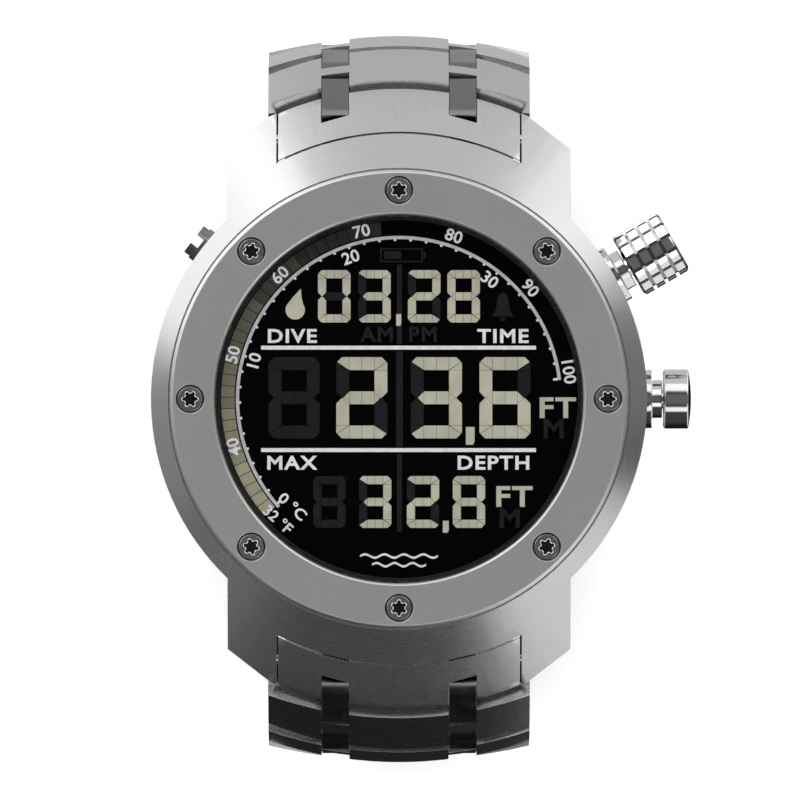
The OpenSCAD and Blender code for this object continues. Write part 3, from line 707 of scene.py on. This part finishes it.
# The two scales' lowest values, with their units, at the foot of the scale.
text_piece("number_c_0", "0 \u00b0C", -9.85, -9.95, 1.10, PRINT, turn=-43, fat=0.018, level=2, width=1.15)
text_piece("number_f_32", "32 \u00b0F", -11.20, -11.15, 1.10, PRINT, turn=-42, fat=0.018, level=2, width=1.05)

# -------------------------------------------------- painted highlight rims of the screw sockets

SCREW_CIRCLE, SCREW_COUNT = 19.35, 8
SOCKET_DISC, LOBE_AT, LOBE_R = 0.58, 0.6, 0.2
RIM_WIDTH, RIM_DEPTH, RIM_CLEAR = 0.07, 0.05, 0.002
RIM_STEPS = 72


def socket_radius(angle):
    """Radius of the six-lobed socket at an angle in degrees."""
    off = math.radians((angle + 30) % 60 - 30)
    reach = LOBE_R ** 2 - (LOBE_AT * math.sin(off)) ** 2
    if reach <= 0:
        return SOCKET_DISC
    return max(SOCKET_DISC, LOBE_AT * math.cos(off) + math.sqrt(reach))


def build_socket_rims():
    """A thin lighter rim, flush with the head, inside the edge of every bezel screw's socket, all in one
    piece: a painted highlight on the socket edge.
    """
    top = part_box("bezel_screws")[1][2]
    foot = top - RIM_DEPTH * MM
    bm = bmesh.new()
    for k in range(SCREW_COUNT):
        turn = 360 * k / SCREW_COUNT
        middle_x = SCREW_CIRCLE * math.cos(math.radians(turn))
        middle_y = SCREW_CIRCLE * math.sin(math.radians(turn))
        rings = []
        for inset, z in ((0.0, top), (0.0, foot), (RIM_WIDTH, foot), (RIM_WIDTH, top)):
            ring = []
            for i in range(RIM_STEPS):
                step_angle = 360 * i / RIM_STEPS
                r = socket_radius(step_angle) - RIM_CLEAR - inset
                a = math.radians(step_angle + turn)
                x, y = (middle_x + r * math.cos(a)) * MM, (middle_y + r * math.sin(a)) * MM
                ring.append(bm.verts.new((x, y, z)))
            rings.append(ring)
        for j in range(4):
            near, far = rings[j], rings[(j + 1) % 4]
            for i in range(RIM_STEPS):
                n = (i + 1) % RIM_STEPS
                bm.faces.new((near[i], far[i], far[n], near[n]))
    bmesh.ops.recalc_face_normals(bm, faces=bm.faces)
    mesh = bpy.data.meshes.new("socket_highlight_rims")
    bm.to_mesh(mesh)
    bm.free()
    # Lighter matte grey at the socket edges: a painted highlight.
    mesh.materials.append(plain("steel_painted_highlight_rim", (0.42, 0.42, 0.42), (0.52, 0.52, 0.52), 0.4))
    rims = in_scene("socket_highlight_rims", mesh)
    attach(rims, "root")


build_socket_rims()

# ----------------------------------------------------- springs of the crown and button

# Distance of a spring's inner end from the middle of the case, and radius of its wire.
SPRING_START = 24.42
WIRE = 0.14


def build_spring(name, node, angle, radius, length, turns=2, steps=48, sides=12):
    """A smooth wire coil round a control's axis, in place of the plain one."""
    count = steps * turns
    rise = (length - 2 * WIRE) / count
    turn = Matrix.Rotation(math.radians(angle), 4, "Z") @ Matrix.Rotation(math.radians(90), 4, "Y")
    base = Vector((0, 0, KNOB_POINT[2] / MM))
    bm = bmesh.new()
    rings = []
    for i in range(count + 1):
        a = 2 * math.pi * i / steps
        ring = []
        for j in range(sides):
            b = 2 * math.pi * j / sides
            r = radius + WIRE * math.cos(b)
            along = SPRING_START + WIRE + rise * i + WIRE * math.sin(b)
            local = Vector((r * math.cos(a), r * math.sin(a), along))
            ring.append(bm.verts.new((base + turn @ local) * MM))
        rings.append(ring)
    for near, far in zip(rings, rings[1:]):
        for j in range(sides):
            n = (j + 1) % sides
            bm.faces.new((near[j], far[j], far[n], near[n]))
    bm.faces.new(rings[0])
    bm.faces.new(rings[-1][::-1])
    bmesh.ops.recalc_face_normals(bm, faces=bm.faces)
    for face in bm.faces:
        face.smooth = len(face.verts) == 4
    mesh = bpy.data.meshes.new(name)
    bm.to_mesh(mesh)
    bm.free()
    mesh.materials.append(MATERIALS["polished"])
    spring = in_scene(name, mesh)
    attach(spring, "root")
    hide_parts(node)
    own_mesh(spring)


build_spring("crown_spring_coil", "crown_spring", CROWN_ANGLE, 1.4, 1.44)
build_spring("button_spring_coil", "button_spring", 0, 1.35, 1.34)

# ------------------------------------------------------- dark shade strips beside the end links

# Thin dark strips in the gaps between the end links and the lugs: painted shade that hides the floor seen
# through the gaps.
GAP_SHADE_Z = (6.15, 6.35)
GAP_SHADE_X = (11.222, 11.368)
GAP_SHADE_Y = (21.93, 26.3)


def build_spacers():
    mesh = bpy.data.meshes.new("end_link_gap_shade")
    bm = bmesh.new()
    for side_x in (-1, 1):
        for side_y in (-1, 1):
            for corner in bmesh.ops.create_cube(bm, size=1.0)["verts"]:
                corner.co.x = side_x * (sum(GAP_SHADE_X) / 2 + corner.co.x * (GAP_SHADE_X[1] - GAP_SHADE_X[0])) * MM
                corner.co.y = side_y * (sum(GAP_SHADE_Y) / 2 + corner.co.y * (GAP_SHADE_Y[1] - GAP_SHADE_Y[0])) * MM
                corner.co.z = (sum(GAP_SHADE_Z) / 2 + corner.co.z * (GAP_SHADE_Z[1] - GAP_SHADE_Z[0])) * MM
    bmesh.ops.recalc_face_normals(bm, faces=bm.faces)
    bm.to_mesh(mesh)
    bm.free()
    # Black plastic here paints the shade in the gaps.
    mesh.materials.append(MATERIALS["plastic"])
    gap_shade_strips = in_scene("end_link_gap_shade", mesh)
    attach(gap_shade_strips, "root")


build_spacers()

# ------------------------------------------------------------- camera and studio

FRAME_WIDTH = 74.07 * MM
CAMERA_HEIGHT = 3.0
SENSOR = 36.0
CAMERA_OFF = (0.09, -0.09)
FLOOR_HALF = 3.0
FLOOR_GAP = 0.3


def build_camera():
    """Looks straight down at the display from far off, so that the view is nearly parallel."""
    data = bpy.data.cameras.new("front_camera")
    data.sensor_width = SENSOR
    data.lens = SENSOR * CAMERA_HEIGHT / FRAME_WIDTH
    data.clip_start = 0.01
    data.clip_end = 10.0
    camera = in_scene("front_camera", data)
    camera.location = (CAMERA_OFF[0] * MM, CAMERA_OFF[1] * MM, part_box("bezel")[1][2] + CAMERA_HEIGHT)
    bpy.context.scene.camera = camera


def build_floor():
    """A pale floor under the clasp, which the polished parts don't reflect."""
    mat, tree, shader = new_material("floor_pale")
    grain = noise(tree, mapped(tree, (1, 1, 1)), 30.0, 2.0)
    tone = mixed(tree, grain, (0.90, 0.90, 0.90), (0.93, 0.93, 0.93))
    link(tree, tone, shader.inputs["Base Color"])
    shader.inputs["Roughness"].default_value = 0.9
    shader.inputs["Specular IOR Level"].default_value = 0.0
    z = CAD_BOX[0][2] - FLOOR_GAP * MM
    half = FLOOR_HALF
    corners = [(-half, -half, z), (half, -half, z), (half, half, z), (-half, half, z)]
    mesh = bpy.data.meshes.new("floor")
    mesh.from_pydata(corners, [], [(0, 1, 2, 3)])
    mesh.materials.append(mat)
    floor = in_scene("floor", mesh)
    floor.visible_glossy = False


build_camera()
build_floor()

# Soft boxes of the studio. Each has the azimuth of its middle, its half width and the width of
# its soft edge in degrees, its brightness, and the heights above the horizon at which it fades
# in and is full, then is still full and fades out.
SKY_BASE = 0.055
SOFT_BOXES = [
    (141, 22, 9, 1.38, -75, -55, 56, 66),
    (45, 8, 12, 0.78, -60, -40, 56, 66),
    (75, 44, 10, 0.61, -90, -80, 56, 66),
    (315, 18, 8, 0.88, -60, -45, 56, 66),
    (187, 16, 12, 0.24, -60, -40, 56, 66),
    (8, 12, 10, 0.16, -60, -40, 56, 66),
    (225, 6, 12, 0.14, -60, -40, 56, 66),
    (90, 40, 15, 0.60, 24, 32, 52, 60),
    (270, 40, 15, 1.10, 36, 44, 54, 62),
]
ZENITH_GLOW = 0.09
GROUND_SHARE = 0.2
SUN_STRENGTH = 3.4
SUN_SPREAD = 50


def smooth(tree, value, low, high, to_low, to_high):
    """value from low..high eased over to_low..to_high."""
    result = ramp(tree, value, low, high, to_low, to_high)
    result.node.interpolation_type = "SMOOTHSTEP"
    return result


def maths(tree, operation, *values):
    """A math node; each of its inputs is an output socket or a number."""
    node = add(tree, "ShaderNodeMath", operation=operation)
    for i, value in enumerate(values):
        if isinstance(value, (int, float)):
            node.inputs[i].default_value = value
        else:
            link(tree, value, node.inputs[i])
    return node.outputs[0]


def build_studio():
    """The sky with its soft boxes, and an overhead light that shows in no reflection."""
    world = bpy.data.worlds.new("studio")
    world.use_nodes = True
    tree = world.node_tree
    background = tree.nodes["Background"]
    coords = tree.nodes.new("ShaderNodeTexCoord")
    split = tree.nodes.new("ShaderNodeSeparateXYZ")
    link(tree, coords.outputs["Generated"], split.inputs[0])
    to_degrees = 180 / math.pi
    around = maths(tree, "ARCTAN2", split.outputs["Y"], split.outputs["X"])
    azimuth = maths(tree, "MULTIPLY", around, to_degrees)
    height = maths(tree, "MULTIPLY", maths(tree, "ARCSINE", split.outputs["Z"]), to_degrees)
    above = smooth(tree, height, 60, 80, SKY_BASE, SKY_BASE + ZENITH_GLOW)
    total = maths(tree, "MULTIPLY", above, smooth(tree, height, -40, -5, GROUND_SHARE, 1.0))
    for middle, half, soft, power, low, low_full, high_full, high in SOFT_BOXES:
        turned = maths(tree, "WRAP", maths(tree, "SUBTRACT", azimuth, float(middle)), 180.0, -180.0)
        side = smooth(tree, maths(tree, "ABSOLUTE", turned), half, half + soft, power, 0.0)
        rise = smooth(tree, height, low, low_full, 0.0, 1.0)
        fall = smooth(tree, height, high_full, high, 1.0, 0.0)
        glow = maths(tree, "MULTIPLY", side, maths(tree, "MULTIPLY", rise, fall))
        total = maths(tree, "ADD", total, glow)
    link(tree, total, background.inputs["Color"])
    background.inputs["Strength"].default_value = 1.0
    bpy.context.scene.world = world
    sun = bpy.data.lights.new("overhead_soft_light", "SUN")
    sun.energy = SUN_STRENGTH
    sun.angle = math.radians(SUN_SPREAD)
    sun_object = bpy.data.objects.new("overhead_soft_light", sun)
    sun_object.visible_glossy = False
    bpy.context.scene.collection.objects.link(sun_object)


build_studio()
bpy.context.scene.view_settings.view_transform = "Standard"
